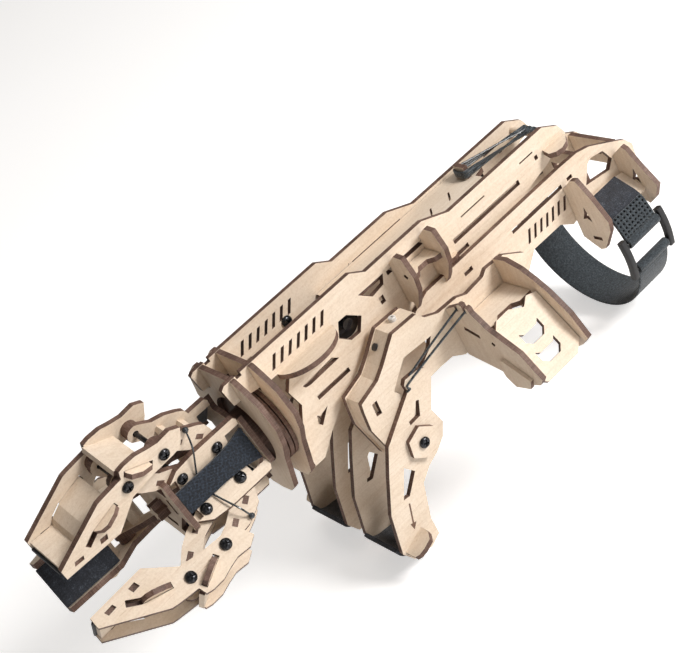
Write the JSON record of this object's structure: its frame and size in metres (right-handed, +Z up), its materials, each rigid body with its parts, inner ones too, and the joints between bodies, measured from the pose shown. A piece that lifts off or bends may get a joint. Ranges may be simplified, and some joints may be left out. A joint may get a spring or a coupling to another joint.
{
  "type": "wearable grabber arm kit",
  "caption": "Forearm-worn plywood robot hand: finger levers swing a three-finger parallelogram claw on a turning wrist, with thumb guard, sliding spool and wrist strap.",
  "frame": {"origin": "middle of the deck: on its top face (Z), on the middle plane between the side plates (Y), 117 mm behind the front face of the rear one of the two front bulkheads, between two deck slits (X)", "axes": "+X from the claw towards the wrist strap, +Z up away from the wearer's hand, -Y towards the thumb guard and slider side"},
  "size_m": [0.3934, 0.1473, 0.1614],
  "materials": {
    "birch": "matte laser-cut birch plywood, burnt edges",
    "burnt": "dark scorched plywood edge",
    "denim": "woven navy cloth",
    "webbing": "woven nylon webbing",
    "black": "satin black plastic",
    "screw": "glossy black plated steel"
  },
  "bodies": {
    "frame": {"buckle": "black", "bulkhead_front": "birch", "bulkhead_mid": "birch", "deck": "birch", "guard_face": "birch", "guard_floor": "birch", "guard_left": "birch", "guard_right": "birch", "housing_far": "birch", "housing_near": "birch", "lever_axle": "screw", "rear_cross": "birch", "rear_far": "birch", "rear_near": "birch", "rear_rod": "birch", "side_far": "birch", "side_near": "birch", "strap": "webbing", "tail_cross": "birch", "wing_front_far": "birch", "wing_front_near": "birch", "wing_rear_far": "birch", "wing_rear_near": "birch"},
    "palm": {"ear_a_left": "birch", "ear_a_right": "birch", "ear_b_left": "birch", "ear_b_right": "birch", "ear_c_left": "birch", "ear_c_right": "birch", "palm_back": "birch", "palm_front": "birch", "panel_ab": "denim", "panel_bc": "denim", "panel_ca": "denim", "wrist_shaft": "burnt"},
    "slider": {"slider_front": "birch", "slider_rear": "birch", "slider_saddle": "birch", "slider_keeper": "birch"},
    "open_lever": {"lever_open_outer": "birch", "lever_open_inner": "birch", "finger_rest_open": "webbing"},
    "close_lever": {"lever_close_outer": "birch", "lever_close_inner": "birch", "finger_rest_close": "webbing"},
    "front_link_a": {"link_a_front": "birch"},
    "rear_link_a": {"link_a_rear": "birch"},
    "fingertip_a": {"tip_a_left": "birch", "tip_a_right": "birch", "tip_a_spine": "birch"},
    "front_link_b": {"link_b_front": "birch"},
    "rear_link_b": {"link_b_rear": "birch"},
    "fingertip_b": {"tip_b_left": "birch", "tip_b_right": "birch", "tip_b_spine": "birch"},
    "front_link_c": {"link_c_front": "birch"},
    "rear_link_c": {"link_c_rear": "birch"},
    "fingertip_c": {"tip_c_left": "birch", "tip_c_right": "birch", "tip_c_spine": "birch"}
  },
  "joints": [
    {"name": "open_lever_swing", "type": "hinge", "parent": "frame", "child": "open_lever", "pos_m": [-0.0676, -0.024, -0.0731], "axis": [0, 1, 0], "range_deg": [-10, 3.9]},
    {"name": "close_lever_swing", "type": "hinge", "parent": "frame", "child": "close_lever", "pos_m": [-0.0676, 0.024, -0.0731], "axis": [0, 1, 0], "range_deg": [-4.5, 10.5]},
    {"name": "wrist_turn", "type": "hinge", "parent": "frame", "child": "palm", "pos_m": [-0.138, 0, -0.0236], "axis": [1, 0, 0], "range_deg": [-90, 90]},
    {"name": "slider_travel", "type": "slide", "parent": "frame", "child": "slider", "axis": [1, 0, 0], "range_m": [-0.0025, 0.0045]},
    {"name": "front_link_a_swing", "type": "hinge", "parent": "palm", "child": "front_link_a", "pos_m": [-0.1746, -0.0136, -0.03628], "axis": [0, 0.682, -0.7314], "range_deg": [-30.5, 12]},
    {"name": "rear_link_a_swing", "type": "hinge", "parent": "palm", "child": "rear_link_a", "pos_m": [-0.1519, -0.0136, -0.03628], "axis": [0, 0.682, -0.7314], "range_deg": [-30.5, 12]},
    {"name": "fingertip_a_swing", "type": "hinge", "parent": "front_link_a", "child": "fingertip_a", "pos_m": [-0.20353, -0.02788, -0.0496], "axis": [0, 0.682, -0.7314], "range_deg": [-12, 30.5]},
    {"name": "front_link_b_swing", "type": "hinge", "parent": "palm", "child": "front_link_b", "pos_m": [-0.1746, -0.00418, -0.00548], "axis": [0, -0.9744, -0.225], "range_deg": [-30.5, 12]},
    {"name": "rear_link_b_swing", "type": "hinge", "parent": "palm", "child": "rear_link_b", "pos_m": [-0.1519, -0.00418, -0.00548], "axis": [0, -0.9744, -0.225], "range_deg": [-30.5, 12]},
    {"name": "fingertip_b_swing", "type": "hinge", "parent": "front_link_b", "child": "fingertip_b", "pos_m": [-0.20012, -0.00954, 0.01772], "axis": [0, -0.9744, -0.225], "range_deg": [-12, 30.5]},
    {"name": "front_link_c_swing", "type": "hinge", "parent": "palm", "child": "front_link_c", "pos_m": [-0.1746, 0.01779, -0.02904], "axis": [0, 0.2924, 0.9563], "range_deg": [-30.5, 12]},
    {"name": "rear_link_c_swing", "type": "hinge", "parent": "palm", "child": "rear_link_c", "pos_m": [-0.1519, 0.01779, -0.02904], "axis": [0, 0.2924, 0.9563], "range_deg": [-30.5, 12]},
    {"name": "fingertip_c_swing", "type": "hinge", "parent": "front_link_c", "child": "fingertip_c", "pos_m": [-0.2021, 0.03834, -0.03532], "axis": [0, 0.2924, 0.9563], "range_deg": [-12, 30.5]}
  ],
  "couplings": [
    {"joint": "close_lever_swing", "follows": "open_lever_swing", "ratio": -1},
    {"joint": "front_link_a_swing", "follows": "open_lever_swing", "ratio": 3},
    {"joint": "rear_link_a_swing", "follows": "open_lever_swing", "ratio": 3},
    {"joint": "fingertip_a_swing", "follows": "open_lever_swing", "ratio": -3},
    {"joint": "front_link_b_swing", "follows": "open_lever_swing", "ratio": 3},
    {"joint": "rear_link_b_swing", "follows": "open_lever_swing", "ratio": 3},
    {"joint": "fingertip_b_swing", "follows": "open_lever_swing", "ratio": -3},
    {"joint": "front_link_c_swing", "follows": "open_lever_swing", "ratio": 3},
    {"joint": "rear_link_c_swing", "follows": "open_lever_swing", "ratio": 3},
    {"joint": "fingertip_c_swing", "follows": "open_lever_swing", "ratio": -3}
  ]
}
